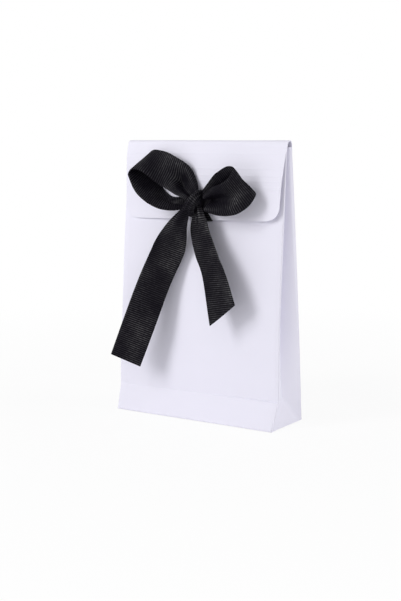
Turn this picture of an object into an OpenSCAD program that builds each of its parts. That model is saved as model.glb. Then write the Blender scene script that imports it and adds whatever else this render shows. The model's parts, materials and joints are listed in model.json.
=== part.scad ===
// Gift envelope: a small gusseted paper bag with a square bottom, whose back
// panel folds over the top as a flap that is tied with a grosgrain bow.
// Front is -Y, up is +Z, and the origin is the middle of the bottom's underside.

/* [Bag] */
// Width of the bag across its front
bag_w = 90; // [76:1:120]
// Depth of the square bottom
bag_d = 30; // [27:1:36]
// Height of the tied bag to the top of its fold
bag_h = 135; // [120:1:180]
// Thickness of the paper
paper_t = 0.4; // [0.3:0.05:0.5]
// Height of the score where the bottom was folded
score_h = 13; // [9:0.5:16]
// How far the front leans in between its bottom edge and the score
score_lean = 5.2; // [3:0.2:6.5]
// How far the front panel bows forward between the score and the mouth
front_bow = 1.8; // [0.8:0.1:2.2]
// Distance from the top of the fold down to the front panel's top edge
front_drop = 2.8; // [2.7:0.1:8]
// Distance between the front and back panels at the mouth
mouth_gap = 5; // [4.8:0.1:5.2]
// Outer radius of the rounded fold at the top
fold_r = 2.4; // [2:0.1:2.8]
// Width of the glued lap inside the back panel
lap_w = 10; // [6:0.5:14]

/* [Bottom] */
// Length of the outer glued flap, which comes back from the front
outer_flap_len = 23; // [18:0.5:27]
// Length of the inner glued flap, which comes forward from the back
inner_flap_len = 21; // [14:0.5:25]
// Length of the tabs that fold in from the sides
tab_len = 14; // [8:0.5:20]
// How much the glued flaps and the tabs narrow at each end
bottom_taper = 4; // [1:0.5:7]

/* [Flap] */
// Distance from the top of the fold to the flap's lower edge
flap_len = 37.5; // [34:0.5:42]
// How much the flap narrows on each side
flap_taper = 1.4; // [0:0.1:4]
// Radius of the flap's lower corners
flap_corner_r = 6.5; // [3:0.5:10]
// How far the flap's lower edge stands in front of the fold's axis
flap_stand = 7.8; // [7.6:0.1:9.5]
// How far the rounded top of the flap comes forward
flap_bulge = 5.7; // [5.2:0.1:6.4]
// Height of that rounded top
flap_bulge_len = 11; // [9:0.5:13]

/* [Ribbon] */
// Width of the ribbon
ribbon_w = 16; // [13:0.5:17]
// Thickness of the ribbon
ribbon_t = 0.4; // [0.3:0.05:0.5]
// Width of the strand round the flap, at the flap's lower edge
anchor_w = 11; // [8:0.5:15]
// Width of the strand where the knot draws it together
anchor_waist_w = 4; // [3:0.5:7]
// Width of the strand in the slit
anchor_slit_w = 6; // [5:0.5:8]
// Height of the ribbon slit above the flap's lower edge
slit_rise = 12; // [10.5:0.5:14]
// Radius of the knot at its middle
knot_r = 4.8; // [4.4:0.1:5]
// Length of the knot along its own axis
knot_len = 8; // [7:0.2:8.4]
// Folds of the ribbon that wraps the knot
knot_folds = 3; // [2:1:4]
// Depth of those folds
knot_fold_depth = 0.4; // [0.2:0.05:0.5]
// How far the slanted end of the right tail is cut back
tail_cut = 8; // [0:0.5:14]

/* [Hidden] */
$fn = 48;

paper_colour = [0.93, 0.93, 0.96];
ribbon_colour = [0.06, 0.06, 0.065];

// Clearances between folded layers, at creases and beside parts that turn
layer_gap = 0.05;
crease_gap = 0.3;
tab_gap = 0.4;
lap_inset = 9 * paper_t;

// The fold's axis, which is also the line that the flap turns about
fold_z = bag_h - fold_r;
front_top = bag_h - front_drop;

// Half of the bag's width, and the free depth of each gusset half
half_w = bag_w / 2;
gusset_half = bag_d / 2;

// The flap's lower edge, and the slope of its straight part
flap_z = bag_h - flap_len;
bulge_z = bag_h - flap_bulge_len;
flap_slope = atan2(flap_stand - flap_bulge, bulge_z - flap_z);

// The knot sits on the flap just above its lower edge, right of the middle
knot_x = 2;
knot_rise = 6.8;
knot_z = flap_z + knot_rise;
knot_y = -flap_stand + knot_rise * tan(flap_slope) - ribbon_t - 4 * layer_gap - knot_r;
knot_at = [knot_x, knot_y, knot_z];
waist_rise = knot_rise - knot_r / 3;
knot_end_share = 0.74;
knot_turn = 135;

// Levels between the score and the mouth, and in the flap's rounded top, at which
// curved sheets are cut, and where that top turns down
levels = 12;
crown_levels = 8;
crown_share = 0.3;
slit_h = 0.9;

// Stations of the bow, from the knot: centre, direction across, share of the width
left_loop_run = [
    [-1.5, -0.5, 3.5, -0.35, -0.75, -0.57, 0.4],
    [-4.8, 0.3, 8, -0.2, -0.76, -0.6, 0.8],
    [-9.6, 0.3, 12.5, -0.24, -0.52, -0.82, 1],
    [-17.2, 0, 16.5, -0.22, -0.38, -0.9, 1],
    [-25.8, -0.8, 20, -0.18, -0.62, -0.76, 1],
    [-30.8, -1.4, 21.2, -0.23, -0.76, -0.6, 1],
    [-32.6, -1.6, 19.5, -0.24, -0.82, -0.53, 1],
    [-32.3, -1.7, 16.9, -0.2, -0.84, -0.5, 1],
    [-29.4, -2, 11.1, -0.1, -0.8, -0.6, 1],
    [-24, -2.2, 5.8, 0.06, -0.85, -0.52, 1],
    [-18.4, -2, 2.1, 0.25, -0.87, -0.42, 1],
    [-13.2, -1.4, 0.8, 0.4, -0.78, -0.46, 0.8],
    [-7.6, 0, 1.2, 0.4, -0.65, -0.65, 0.5],
    [-4.2, 1, 1.6, 0.3, -0.7, -0.6, 0.4]
];
right_loop_run = [
    [1, 1.5, 1.5, 0.2, 0.3, -0.9, 0.38],
    [7.5, 1.5, 5, 0.35, 0.3, -0.88, 0.7],
    [14, 1.5, 8.5, 0.5, 0.3, -0.8, 1],
    [21, 1, 12.5, 0.58, 0.3, -0.75, 1],
    [26.5, -0.5, 13, 0.6, 0.3, -0.73, 1],
    [27.5, -3, 10.5, 0.58, 0.3, -0.76, 1],
    [25.5, -4.5, 7, 0.54, 0.28, -0.79, 1],
    [21, -5.5, 4, 0.45, 0.22, -0.86, 1],
    [13.5, -4.5, 2.5, 0.18, 0.28, -0.94, 0.87],
    [6, -3, 1.5, -0.1, 0.3, -0.94, 0.5]
];
left_tail_run = [
    [-5.2, -3, -3.2, 0.93, -0.15, -0.3, 0.42],
    [-9.4, -3.3, -9.7, 0.97, 0.05, -0.15, 0.72],
    [-15.1, -1.5, -20.8, 0.89, 0.33, -0.32, 1],
    [-21.7, -4.6, -37.1, 0.89, 0.33, -0.34, 1],
    [-26.1, -10.2, -55.2, 0.86, 0.43, -0.34, 1],
    [-33, -13.6, -76, 0.88, 0.32, -0.35, 1]
];
right_tail_run = [
    [2.2, -2, -5, 0.97, 0.1, 0.13, 0.45],
    [2.5, -1, -12.8, 0.96, -0.18, 0.19, 0.78],
    [7.2, -2.5, -23.3, 0.95, -0.27, 0.15, 1],
    [12.8, -4.4, -33.2, 0.97, -0.22, 0.14, 1],
    [20.4, -7.5, -54, 0.97, 0.08, 0.2, 1]
];

// Where each loop leaves the knot and returns to it, in stations
left_loop_span = [0.78, 12.45];
right_loop_span = [0.5, 9];
steps_per_station = 3;
ribbon_columns = 6;
pleat_share = 0.08;

function lerp(a, b, t) = a + (b - a) * t;
function unit(v) = v / norm(v);

// Outer faces of the back and front, as y over height
function back_y(z) = lerp(bag_d / 2, fold_r, z / fold_z);
function score_y() = -(bag_d / 2 - score_lean);
function mouth_y() = back_y(front_top) - mouth_gap;
function panel_y(t) = lerp(score_y(), mouth_y(), t) - front_bow * 4 * t * (1 - t);
function front_y(z) = z < score_h
    ? lerp(-bag_d / 2, score_y(), z / score_h)
    : panel_y((z - score_h) / (front_top - score_h));

// How far the middle crease of a gusset is folded in at a height
function crease_in(z) = sqrt(gusset_half ^ 2 - ((back_y(z) - front_y(z)) / 2) ^ 2);
function crease_y(z) = (back_y(z) + front_y(z)) / 2;

// A sheet that runs across the bag, from the y of its outer face at each height
module cross_sheet(outer, inward, width) {
    inner = [for (p = outer) [p[0] + inward, p[1]]];
    turned = [for (i = [len(inner) - 1 : -1 : 0]) inner[i]];
    translate([-width / 2, 0, 0])
        rotate([90, 0, 90])
            linear_extrude(width) polygon(concat(outer, turned));
}

// A closed loft through rings of points
module loft(rings) {
    n = len(rings[0]);
    last = len(rings) - 1;
    walls = [for (i = [0 : last - 1], j = [0 : n - 1])
        let (a = i * n + j, b = i * n + (j + 1) % n)
        each [[a, b, b + n], [a, b + n, a + n]]];
    half = n / 2;
    foot = [for (k = [0 : half - 2])
        each [[k, n - 1 - k, n - 2 - k], [k, n - 2 - k, k + 1]]];
    head = [for (f = foot) [f[0] + last * n, f[2] + last * n, f[1] + last * n]];
    polyhedron([for (r = rings) each r], concat(walls, foot, head));
}

// A strip of paper between two upright lines, given at each height
function strip_ring(a, b, z, side) =
    let (d = unit(b - a), n = [-d[1], d[0]] * paper_t / 2 * side)
    [for (p = [a + n, b + n, b - n, a - n]) [p[0], p[1], z]];

// One half of a gusset: side is -1 left or 1 right, half is -1 front or 1 back
function gusset_edge(z, side, half) =
    let (y = half > 0 ? back_y(z) - paper_t - crease_gap : front_y(z) + paper_t + crease_gap)
    [side * (half_w - paper_t / 2), y];
function gusset_crease(z, side, half) =
    [side * (half_w - crease_in(z)), crease_y(z) + half * 1.5 * crease_gap];

module gusset(side, half) {
    low = score_h + crease_gap / 2;
    heights = [for (i = [0 : levels]) lerp(low, front_top, i / levels)];
    color(paper_colour)
        loft([for (z = heights)
            strip_ring(gusset_edge(z, side, half), gusset_crease(z, side, half), z, -side * half)]);
}

// The side below the score: a triangle that stands on the bottom's edge, with its
// tip at the gusset's crease, and a smaller triangle on each side of it
module base_fold(side) {
    low = 3 * paper_t + layer_gap;
    high = score_h - crease_gap / 2;
    edge_x = side * (half_w - paper_t / 2);
    inset = paper_t + crease_gap;
    face = [
        [edge_x, front_y(low) + inset, low],
        [edge_x, back_y(low) - inset, low],
        [edge_x, back_y(high) - inset, high],
        [side * (half_w - crease_in(score_h)), crease_y(score_h), high],
        [edge_x, front_y(high) + inset, high]
    ];
    n = len(face);
    folds = [[0, 3, 4], [0, 1, 3], [1, 2, 3]];
    inner_folds = [for (f = folds) [f[0] + n, f[2] + n, f[1] + n]];
    rim = [for (i = [0 : n - 1])
        let (j = (i + 1) % n)
        each [[j, i, i + n], [j, i + n, j + n]]];
    faces = concat(folds, inner_folds, rim);
    points = concat(face, [for (p = face) p - [side * paper_t, 0, 0]]);
    color(paper_colour)
        polyhedron(points, side < 0 ? faces : [for (f = faces) [f[0], f[2], f[1]]]);
}

module back_panel() {
    color(paper_colour)
        cross_sheet([[back_y(score_h), score_h], [back_y(fold_z), fold_z]], -paper_t, bag_w);
}

module back_base_band() {
    color(paper_colour)
        cross_sheet([[back_y(paper_t), paper_t], [back_y(score_h), score_h]], -paper_t, bag_w);
}

module front_panel() {
    low = score_h + crease_gap / 2;
    heights = [for (i = [0 : levels]) lerp(low, front_top, i / levels)];
    color(paper_colour)
        cross_sheet([for (z = heights) [front_y(z), z]], paper_t, bag_w);
}

module front_base_band() {
    high = score_h - crease_gap / 2;
    color(paper_colour)
        cross_sheet([[front_y(paper_t), paper_t], [front_y(high), high]], paper_t, bag_w);
}

module base_outer_flap() {
    front = -bag_d / 2;
    color(paper_colour)
        linear_extrude(paper_t)
            polygon([
                [-half_w, front], [half_w, front],
                [half_w - bottom_taper / 2, front + outer_flap_len],
                [-half_w + bottom_taper / 2, front + outer_flap_len]
            ]);
}

module base_inner_flap() {
    back = back_y(2 * paper_t) - paper_t - layer_gap;
    wide = half_w - paper_t - tab_gap;
    color(paper_colour)
        translate([0, 0, paper_t])
            linear_extrude(paper_t)
                polygon([
                    [-wide, back], [wide, back],
                    [wide - bottom_taper, back - inner_flap_len],
                    [-wide + bottom_taper, back - inner_flap_len]
                ]);
}

module base_tab(side) {
    wide = half_w - paper_t - tab_gap;
    half = bag_d / 2 - paper_t - 3 * tab_gap;
    color(paper_colour)
        translate([0, 0, 2 * paper_t])
            linear_extrude(paper_t)
                polygon([
                    [side * wide, -half], [side * wide, half],
                    [side * (wide - tab_len), half - bottom_taper],
                    [side * (wide - tab_len), -half + bottom_taper]
                ]);
}

module glue_lap() {
    low = score_h;
    edge = half_w - lap_inset;
    color(paper_colour)
        translate([-edge + lap_w / 2, 0, 0])
            cross_sheet(
                [[back_y(low) - paper_t, low], [back_y(front_top) - paper_t, front_top]],
                -paper_t, lap_w);
}

module top_fold() {
    color(paper_colour)
        translate([-half_w, 0, fold_z])
            rotate([90, 0, 90])
                linear_extrude(bag_w)
                    difference() {
                        circle(fold_r);
                        circle(fold_r - paper_t);
                        translate([-2 * fold_r, -2 * fold_r]) square([4 * fold_r, 2 * fold_r]);
                    }
}

// The flap's outer face: a rounded top, then straight down to its lower edge
function flap_profile() =
    let (
        root = [-(fold_r + crease_gap + paper_t), fold_z + 2 * crease_gap],
        crown = [-flap_bulge + paper_t, lerp(fold_z, bulge_z, crown_share)],
        shoulder = [-flap_bulge, bulge_z]
    )
    concat(
        [for (i = [0 : crown_levels])
            let (t = i / crown_levels)
            root * (1 - t) ^ 2 + crown * 2 * t * (1 - t) + shoulder * t ^ 2],
        [[-flap_stand, flap_z]]
    );

module flap_outline() {
    low_w = half_w - flap_taper;
    r = flap_corner_r;
    corner = [for (a = [0 : -15 : -90]) [low_w - r + r * cos(a), flap_z + r + r * sin(a)]];
    mirrored = [for (i = [len(corner) - 1 : -1 : 0]) [-corner[i][0], corner[i][1]]];
    polygon(concat([[half_w, bag_h]], corner, mirrored, [[-half_w, bag_h]]));
}

// Places children on the flap's straight part: its lower edge is z = 0, and
// its outer face is y = 0
module on_flap() {
    translate([knot_x, -flap_stand, flap_z]) rotate([-flap_slope, 0, 0]) children();
}

module flap() {
    slit_w = anchor_slit_w + 2 * tab_gap;
    color(paper_colour)
        difference() {
            intersection() {
                cross_sheet(flap_profile(), paper_t, bag_w);
                translate([0, bag_d, 0]) rotate([90, 0, 0]) linear_extrude(2 * bag_d) flap_outline();
            }
            on_flap()
                translate([-slit_w / 2, -paper_t, slit_rise])
                    cube([slit_w, 3 * paper_t, slit_h]);
        }
}

// The strand through the slit and round the flap's lower edge
module ribbon_anchor() {
    inner_h = slit_rise + (slit_h - ribbon_t) / 2 + layer_gap;
    inner_d = paper_t + 2 * layer_gap;
    color(ribbon_colour)
        on_flap()
            difference() {
                translate([0, inner_d - layer_gap + ribbon_t, 0])
                    rotate([90, 0, 0])
                        linear_extrude(inner_d + 2 * ribbon_t)
                            polygon([
                                [-anchor_w / 2, -layer_gap - ribbon_t],
                                [anchor_w / 2, -layer_gap - ribbon_t],
                                [anchor_waist_w / 2, waist_rise],
                                [anchor_slit_w / 2, inner_h - layer_gap + ribbon_t],
                                [-anchor_slit_w / 2, inner_h - layer_gap + ribbon_t],
                                [-anchor_waist_w / 2, waist_rise]
                            ]);
                translate([-anchor_w, -layer_gap, -layer_gap])
                    cube([2 * anchor_w, inner_d, inner_h]);
            }
}

// A barrel wrapped by folded ribbon
module ribbon_knot() {
    half = knot_len / 2;
    steps = 8 * knot_folds;
    side = [for (i = [0 : steps])
        let (
            v = 2 * i / steps - 1,
            fold = knot_fold_depth * (1 + cos(360 * knot_folds * i / steps)) / 2
        )
        [knot_r * sqrt(1 - (knot_end_share * v) ^ 2) - fold, half * v]];
    color(ribbon_colour)
        translate(knot_at)
            rotate([0, knot_turn, 0])
                rotate_extrude() polygon(concat([[0, -half]], side, [[0, half]]));
}

// A row of a run at a station that may lie between two others
function row_at(run, u) =
    let (
        n = len(run) - 1,
        i = min(floor(u), n - 1),
        t = u - i,
        b = run[i],
        c = run[i + 1],
        a = i > 0 ? run[i - 1] : 2 * b - c,
        d = i + 2 <= n ? run[i + 2] : 2 * c - b
    )
    (2 * b + (c - a) * t + (2 * a - 5 * b + 4 * c - d) * t ^ 2 + (3 * b - a - 3 * c + d) * t ^ 3) / 2;

function whole(run) = [0, len(run) - 1];
function centre_of(row) = [row[0], row[1], row[2]];
function across_of(row) = unit([row[3], row[4], row[5]]);
function along(run, u) =
    let (e = 0.05, n = len(run) - 1)
    unit(centre_of(row_at(run, min(n, u + e))) - centre_of(row_at(run, max(0, u - e))));

// A point of the ribbon: q runs across from -1 to 1, and face is -1 or 1
function ribbon_point(run, u, q, face) =
    let (
        row = row_at(run, u),
        share = min(1, row[6]),
        w = across_of(row),
        n = unit(cross(along(run, u), w)),
        pleat = pleat_share * ribbon_w * sqrt(1 - share ^ 2) * cos(180 * q)
    )
    knot_at + centre_of(row) + w * q * share * ribbon_w / 2 + n * (pleat + face * ribbon_t / 2);

// A strip of ribbon along a run, with its far end cut back towards q = 1
module ribbon_strip(run, span, cut = 0) {
    rows = ceil((span[1] - span[0]) * steps_per_station);
    n = len(run) - 1;
    cut_back = cut / norm(centre_of(run[n]) - centre_of(run[n - 1]));
    columns = [for (k = [0 : ribbon_columns]) 2 * k / ribbon_columns - 1];
    back_columns = [for (k = [ribbon_columns : -1 : 0]) columns[k]];
    color(ribbon_colour)
        loft([for (i = [0 : rows])
            let (t = i / rows)
            concat(
                [for (q = columns)
                    ribbon_point(run, lerp(span[0], span[1] - cut_back * (q + 1) / 2, t), q, 1)],
                [for (q = back_columns)
                    ribbon_point(run, lerp(span[0], span[1] - cut_back * (q + 1) / 2, t), q, -1)]
            )]);
}

back_panel();
back_base_band();
front_panel();
front_base_band();
gusset(-1, -1);  // left_gusset_front
gusset(-1, 1);  // left_gusset_back
gusset(1, -1);  // right_gusset_front
gusset(1, 1);  // right_gusset_back
base_fold(-1);  // left_base_fold
base_fold(1);  // right_base_fold
base_outer_flap();
base_inner_flap();
base_tab(-1);  // left_base_tab
base_tab(1);  // right_base_tab
glue_lap();
top_fold();
flap();
ribbon_anchor();
ribbon_knot();
ribbon_strip(left_loop_run, left_loop_span);  // left_loop
ribbon_strip(right_loop_run, right_loop_span);  // right_loop
ribbon_strip(left_tail_run, whole(left_tail_run));  // left_tail
ribbon_strip(right_tail_run, whole(right_tail_run), tail_cut);  // right_tail
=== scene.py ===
"""Gift envelope: folded white paper and a black ribbon bow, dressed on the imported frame."""

import json
import math

import bmesh
import bpy
import numpy as np
from bpy.props import FloatProperty, FloatVectorProperty, PointerProperty
from mathutils import Matrix, Vector, noise


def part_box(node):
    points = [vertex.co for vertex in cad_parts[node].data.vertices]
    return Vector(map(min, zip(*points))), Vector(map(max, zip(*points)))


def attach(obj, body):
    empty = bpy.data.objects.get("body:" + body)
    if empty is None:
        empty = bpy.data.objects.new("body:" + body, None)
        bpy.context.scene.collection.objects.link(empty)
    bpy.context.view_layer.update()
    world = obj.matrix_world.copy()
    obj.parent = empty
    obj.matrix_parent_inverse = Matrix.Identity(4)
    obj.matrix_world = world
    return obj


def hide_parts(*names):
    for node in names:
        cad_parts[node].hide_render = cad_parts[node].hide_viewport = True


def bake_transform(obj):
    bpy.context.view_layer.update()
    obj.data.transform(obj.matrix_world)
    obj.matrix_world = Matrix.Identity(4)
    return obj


bl_info = {
    "name": "Gift envelope",
    "version": (1, 0, 0),
    "blender": (4, 5, 0),
    "location": "View3D > Sidebar > Gift envelope",
    "description": "Paper and ribbon of a small gift envelope, built on its packed frame",
    "category": "Add Mesh",
}

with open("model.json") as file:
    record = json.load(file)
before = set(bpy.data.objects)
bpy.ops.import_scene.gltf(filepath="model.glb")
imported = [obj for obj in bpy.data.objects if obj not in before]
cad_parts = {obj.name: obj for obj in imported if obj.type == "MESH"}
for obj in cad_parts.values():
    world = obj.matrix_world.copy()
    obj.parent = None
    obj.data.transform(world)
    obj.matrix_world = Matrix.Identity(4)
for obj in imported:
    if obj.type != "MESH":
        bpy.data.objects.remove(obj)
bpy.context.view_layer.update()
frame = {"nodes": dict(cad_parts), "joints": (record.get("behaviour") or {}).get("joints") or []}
MM = 0.001
WHITE = (1.0, 1.0, 1.0, 1.0)
HINGES = {joint["name"]: joint["pos_m"] for joint in frame["joints"]}


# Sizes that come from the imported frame, in metres

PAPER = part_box("base_outer_flap")[1].z
HALF_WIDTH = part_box("back_panel")[1].x
HALF_DEPTH = -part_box("base_outer_flap")[0].y
SCORE_Z = HINGES["mouth_open"][2]
SCORE_Y = HINGES["mouth_open"][1] - PAPER / 2
FOLD_Z = HINGES["flap_hinge"][2]
FOLD_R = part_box("top_fold")[1].z - FOLD_Z
MOUTH_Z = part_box("front_panel")[1].z
MOUTH_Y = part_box("front_panel")[1].y - PAPER
FLAP_LOW = Vector((0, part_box("flap")[0].y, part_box("flap")[0].z))
OUTER_FLAP_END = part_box("base_outer_flap")[1].y
INNER_FLAP_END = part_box("base_inner_flap")[0].y
KNOT = np.array((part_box("ribbon_knot")[0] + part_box("ribbon_knot")[1]) / 2)
INSIDE = np.array((0, 0, FOLD_Z / 2))


# Heights of the faint scores across the flap

FAINT_SCORES = [height * MM for height in (129, 122, 118.7, 116.2, 113.4, 112.6)]

# Stations of the bow in millimetres from the knot: centre, direction across, share of the width

LEFT_LOOP = [
    [-1.5, -0.5, 3.5, -0.35, -0.75, -0.57, 0.4],
    [-4.8, 0.3, 8, -0.2, -0.76, -0.6, 0.8],
    [-9.6, 0.3, 12.5, -0.24, -0.52, -0.82, 1],
    [-17.2, 0, 16.5, -0.22, -0.38, -0.9, 1],
    [-25.2, -1.9, 21, -0.1, -0.76, -0.64, 1],
    [-30.6, -1.6, 21.6, -0.2, -0.8, -0.56, 1],
    [-32.6, -1.6, 19.5, -0.24, -0.82, -0.53, 1],
    [-32.3, -1.7, 16.9, -0.2, -0.84, -0.5, 1],
    [-29.4, -2, 11.1, -0.1, -0.8, -0.6, 1],
    [-24, -2.2, 5.8, 0.06, -0.85, -0.52, 1],
    [-18.4, -2, 2.1, 0.25, -0.87, -0.42, 1],
    [-13.2, -1.4, 0.8, 0.4, -0.78, -0.46, 0.8],
    [-7.6, 0, 1.2, 0.4, -0.65, -0.65, 0.5],
    [-4.2, 1, 1.6, 0.3, -0.7, -0.6, 0.4],
]
RIGHT_LOOP = [
    [1, 1.5, 1.5, 0.2, 0.3, -0.9, 0.38],
    [8.5, -0.5, 5.8, 0.14, 0.53, -0.83, 0.7],
    [16.5, -2, 9.6, 0.24, 0.59, -0.77, 1],
    [22.8, -1.9, 12.9, 0.35, 0.57, -0.75, 1],
    [27, -1.4, 12.9, 0.53, 0.4, -0.75, 1],
    [27.5, -3, 10.5, 0.58, 0.3, -0.76, 1],
    [25.5, -4.5, 7, 0.54, 0.28, -0.79, 1],
    [21, -5.5, 4, 0.45, 0.22, -0.86, 1],
    [13.5, -4.5, 2.5, 0.18, 0.28, -0.94, 0.87],
    [6, -3, 1.5, -0.1, 0.3, -0.94, 0.5],
]
LEFT_TAIL = [
    [-5.2, -3, -3.2, 0.93, -0.15, -0.3, 0.42],
    [-9.4, -3.3, -9.7, 0.97, 0.05, -0.15, 0.72],
    [-15.1, -1.5, -20.8, 0.89, 0.33, -0.32, 1],
    [-21.7, -4.6, -37.1, 0.89, 0.33, -0.34, 1],
    [-26.1, -10.2, -55.2, 0.86, 0.43, -0.34, 1],
    [-33, -13.6, -76, 0.88, 0.32, -0.35, 1],
]
RIGHT_TAIL = [
    [2.2, -2, -5, 0.97, 0.1, 0.13, 0.45],
    [2.5, -1, -12.8, 0.96, -0.18, 0.19, 0.78],
    [7.2, -2.5, -23.3, 0.95, -0.27, 0.15, 1],
    [12.8, -4.4, -33.2, 0.97, -0.22, 0.14, 1],
    [20.4, -7.5, -54, 0.97, 0.08, 0.2, 1],
]
STRAND = [
    [0, 6, 5.6, 1, 0, 0, 0.55],
    [0, 5.4, 4.4, 1, 0, 0, 0.55],
    [0, 4.95, -1.6, 1, 0, 0, 0.4],
    [0, 4.62, -5.6, 1, 0, 0, 0.9],
    [0, 5.1, -7.3, 1, 0, 0, 1],
    [0, 5.68, -5.6, 1, 0, 0, 0.96],
    [0, 6.1, 0, 1, 0, 0, 0.75],
    [0, 6.5, 5, 1, 0, 0, 0.55],
]

# Where the tails run on into the knot

LEFT_TAIL_ROOT = [-2.4, -1.8, 0.8, 0.85, -0.4, -0.35, 0.4]
RIGHT_TAIL_ROOT = [-0.6, 0.4, 1.6, 0.97, 0.1, 0.13, 0.2]

# Folds and hollows of the ribbon: which end they belong to, how far from it in mm, depth in mm,
# place and spread across as shares of the half width, reach along in mm

LEFT_LOOP_FOLDS = (
    (0, 0, -2.8, 0.05, 0.4, 14), (0, 0, 0.9, -0.65, 0.25, 9), (0, 0, 0.9, 0.7, 0.2, 8),
    (0, 12, -4.5, 0, 0.5, 5.5), (1, 0, 1.4, -0.1, 0.22, 15), (1, 0, -0.8, -0.6, 0.25, 9))
RIGHT_LOOP_FOLDS = (
    (1, 0, -4.4, -0.05, 0.42, 20), (1, 0, 0.9, -0.65, 0.25, 9), (1, 0, 0.9, 0.65, 0.25, 9),
    (0, 0, 1.2, 0, 0.4, 8))
LEFT_TAIL_FOLDS = (
    (0, 0, 2.0, -0.15, 0.4, 16), (0, 0, -1.2, 0.55, 0.25, 10), (0, 0, -0.8, -0.75, 0.2, 8))
RIGHT_TAIL_FOLDS = ((0, 0, 1.5, 0.3, 0.4, 13), (0, 0, -1.3, -0.4, 0.3, 11))
STRAND_FOLDS = ((0, 0, 0.5, 0.4, 0.2, 9), (0, 0, 0.5, -0.4, 0.2, 9))


class PaperSettings(bpy.types.PropertyGroup):
    """Sizes and finish of the folded paper"""

    bow: FloatProperty(
        name="Front bow", description="How far the front panel bows forward",
        default=1.8 * MM, unit="LENGTH")
    bow_skew: FloatProperty(
        name="Bow skew", description="Share by which the front bows more at the left edge", default=0.5)
    back_bow: FloatProperty(
        name="Back bow", description="How far the back panel bows backward",
        default=0.8 * MM, unit="LENGTH")
    pinch_left: FloatProperty(
        name="Left pinch", description="How far the score comes forward at the left edge",
        default=2.2 * MM, unit="LENGTH")
    pinch_right: FloatProperty(
        name="Right pinch", description="How far the score goes back at the right edge",
        default=1.4 * MM, unit="LENGTH")
    shoulder: FloatProperty(
        name="Side shoulder",
        description="Share of the way to its middle that a side turns in by its edges, near the mouth",
        default=0.6, min=0.0, max=0.8, subtype="FACTOR")
    foot_spread: FloatProperty(
        name="Foot spread", description="Share of the side crease that is spread flat at the score",
        default=0.55, min=0.0, max=1.0, subtype="FACTOR")
    spread_height: FloatProperty(
        name="Spread height", description="How far above the score the side is spread",
        default=45 * MM, unit="LENGTH")
    puff: FloatProperty(
        name="Side puff", description="How far each half of a folded side bulges out",
        default=2.4 * MM, unit="LENGTH")
    corner: FloatProperty(
        name="Corner radius", description="Radius of the upright folded corners",
        default=0.45 * MM, unit="LENGTH")
    groove: FloatProperty(
        name="Score depth", description="Depth of the pressed score above the bottom",
        default=0.3 * MM, unit="LENGTH")
    faint_groove: FloatProperty(
        name="Faint score depth", description="Depth of the faint scores across the flap",
        default=0.1 * MM, unit="LENGTH")
    crease: FloatProperty(
        name="Crease radius", description="Radius of the bottom and score creases",
        default=0.5 * MM, unit="LENGTH")
    flap_taper: FloatProperty(
        name="Flap taper", description="How much the flap narrows on each side",
        default=1.4 * MM, unit="LENGTH")
    flap_corner: FloatProperty(
        name="Flap corner", description="Radius of the flap's lower corners",
        default=6.5 * MM, unit="LENGTH")
    flap_skew: FloatProperty(
        name="Flap skew", description="How much higher the flap's right corner hangs than its middle",
        default=0.5 * MM, unit="LENGTH")
    fold_pinch: FloatProperty(
        name="Fold pinch", description="How much narrower the top fold is at its right end",
        default=1.7 * MM, unit="LENGTH")
    slit: FloatProperty(
        name="Slit", description="Width of the slit that the ribbon passes through",
        default=6.8 * MM, unit="LENGTH")
    wave: FloatProperty(
        name="Waviness", description="How far the flat panels wander from true",
        default=0.12 * MM, unit="LENGTH")
    colour: FloatVectorProperty(
        name="Paper", description="Colour of the paper",
        default=(0.85, 0.835, 0.94), size=3, subtype="COLOR")
    shade: FloatVectorProperty(
        name="Paper shade", description="Colour of the paper's darker clouds",
        default=(0.82, 0.805, 0.91), size=3, subtype="COLOR")


class RibbonSettings(bpy.types.PropertyGroup):
    """Sizes and finish of the ribbon"""

    width: FloatProperty(
        name="Width", description="Width of the ribbon", default=16 * MM, unit="LENGTH")
    thickness: FloatProperty(
        name="Thickness", description="Thickness of the ribbon between its ribs",
        default=0.3 * MM, unit="LENGTH")
    rib_pitch: FloatProperty(
        name="Rib pitch", description="Distance from one rib to the next",
        default=1.0 * MM, unit="LENGTH")
    rib_height: FloatProperty(
        name="Rib height", description="Height of a rib above the grooves",
        default=0.14 * MM, unit="LENGTH")
    strand_width: FloatProperty(
        name="Strand width", description="Width of the strand at the flap's lower edge",
        default=11 * MM, unit="LENGTH")
    # The ribs' colour is lighter than the grooves' colour: painted highlights on the rib crests and
    # painted shade in the grooves between them
    colour: FloatVectorProperty(
        name="Ribbon", description="Colour of the ribbon's ribs",
        default=(0.0112, 0.0098, 0.0150), size=3, subtype="COLOR")
    groove: FloatVectorProperty(
        name="Groove", description="Colour of the grooves between the ribs",
        default=(0.0038, 0.0032, 0.0054), size=3, subtype="COLOR")


class StageSettings(bpy.types.PropertyGroup):
    """Camera and light"""

    camera_place: FloatVectorProperty(
        name="Camera", description="Where the camera stands",
        default=(0.3087, -0.4760, 0.1361), size=3, subtype="TRANSLATION")
    camera_yaw: FloatProperty(
        name="Yaw", description="How far the camera is turned to the left of +Y",
        default=math.radians(33.325), subtype="ANGLE")
    camera_pitch: FloatProperty(
        name="Pitch", description="How far the camera looks down",
        default=math.radians(7.915), subtype="ANGLE")
    camera_lens: FloatProperty(
        name="Lens", description="Focal length of the camera in millimetres", default=69.8)
    key_power: FloatProperty(
        name="Key light", description="Power of the key light", default=4.9, subtype="POWER")
    fill_power: FloatProperty(
        name="Fill light", description="Power of the wide light from the right",
        default=3.25, subtype="POWER")
    sky: FloatProperty(
        name="Sky", description="Strength of the even light from all round", default=0.5)


# Shader nodes as plain expressions

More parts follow.
